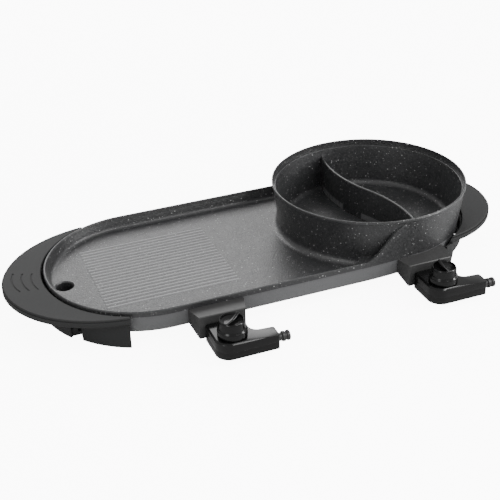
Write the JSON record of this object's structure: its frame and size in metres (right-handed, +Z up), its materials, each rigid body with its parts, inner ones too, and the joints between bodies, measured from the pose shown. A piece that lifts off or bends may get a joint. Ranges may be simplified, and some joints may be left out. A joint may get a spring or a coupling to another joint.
{
  "type": "electric grill with divided hot pot",
  "caption": "Long table-top electric grill pan with a deep round divided pot at one end, side handles, a drip tray and plug-in thermostats with knobs.",
  "frame": {"origin": "middle of the object's footprint, on the table that its feet stand on", "axes": "+X along the length towards the pot, +Y away from the side with the plug-in thermostats, +Z up"},
  "size_m": [0.742, 0.366, 0.109],
  "materials": {
    "cast_coating": "die-cast aluminium with a dark speckled non-stick coating, satin",
    "handle_plastic": "moulded grey phenolic, fine matte texture",
    "guard_plastic": "moulded black plastic, matte",
    "probe_plastic": "moulded black plastic, glossy",
    "knob_plastic": "moulded black plastic, glossy",
    "nose_plastic": "heat-resistant phenolic, matte",
    "tray_plastic": "moulded dark grey plastic, matte",
    "rubber": "moulded black rubber",
    "heater_steel": "stainless heater sheath, heat-dulled",
    "pin_steel": "plated contact steel",
    "ceramic": "white ceramic",
    "screw_steel": "zinc-plated steel",
    "thermostat": "switch block, steel plate and mica"
  },
  "bodies": {
    "plate_and_handles": {"cooking_plate": "cast_coating", "drain_handle_base": "handle_plastic", "drain_handle_cover": "handle_plastic", "drain_handle_screws": "screw_steel", "drain_cover_screws": "screw_steel", "drain_end_feet": "rubber", "pot_handle_base": "handle_plastic", "pot_handle_cover": "handle_plastic", "pot_handle_screws": "screw_steel", "pot_cover_screws": "screw_steel", "pot_end_feet": "rubber", "grill_heating_element": "heater_steel", "grill_terminal_pins": "pin_steel", "grill_pin_insulators": "ceramic", "grill_socket_guard": "guard_plastic", "grill_guard_screws": "screw_steel", "pot_heating_element": "heater_steel", "pot_terminal_pins": "pin_steel", "pot_pin_insulators": "ceramic", "pot_socket_guard": "guard_plastic", "pot_guard_screws": "screw_steel"},
    "drip_tray": {"drip_tray": "tray_plastic"},
    "grill_probe": {"grill_probe_lower_shell": "probe_plastic", "grill_probe_upper_shell": "probe_plastic", "grill_probe_nose": "nose_plastic", "grill_probe_contacts": "pin_steel", "grill_probe_sensor_rod": "pin_steel", "grill_probe_thermostat": "thermostat", "grill_probe_strain_relief": "rubber", "grill_probe_screws": "screw_steel"},
    "grill_knob": {"grill_knob": "knob_plastic", "grill_knob_spindle": "screw_steel"},
    "pot_probe": {"pot_probe_lower_shell": "probe_plastic", "pot_probe_upper_shell": "probe_plastic", "pot_probe_nose": "nose_plastic", "pot_probe_contacts": "pin_steel", "pot_probe_sensor_rod": "pin_steel", "pot_probe_thermostat": "thermostat", "pot_probe_strain_relief": "rubber", "pot_probe_screws": "screw_steel"},
    "pot_knob": {"pot_knob": "knob_plastic", "pot_knob_spindle": "screw_steel"}
  },
  "joints": [
    {"name": "drip_tray_slide", "type": "slide", "parent": "plate_and_handles", "child": "drip_tray", "axis": [-1, 0, 0], "range_m": [0, 0.17]},
    {"name": "grill_probe_pull", "type": "slide", "parent": "plate_and_handles", "child": "grill_probe", "axis": [0, -1, 0], "range_m": [0, 0.09]},
    {"name": "pot_probe_pull", "type": "slide", "parent": "plate_and_handles", "child": "pot_probe", "axis": [0, -1, 0], "range_m": [0, 0.09]},
    {"name": "grill_knob_turn", "type": "hinge", "parent": "grill_probe", "child": "grill_knob", "pos_m": [-0.1155, -0.16, 0.0355], "axis": [0, 0, 1], "range_deg": [-215, 55]},
    {"name": "pot_knob_turn", "type": "hinge", "parent": "pot_probe", "child": "pot_knob", "pos_m": [0.1945, -0.155, 0.0355], "axis": [0, 0, 1], "range_deg": [-270, 0]}
  ]
}
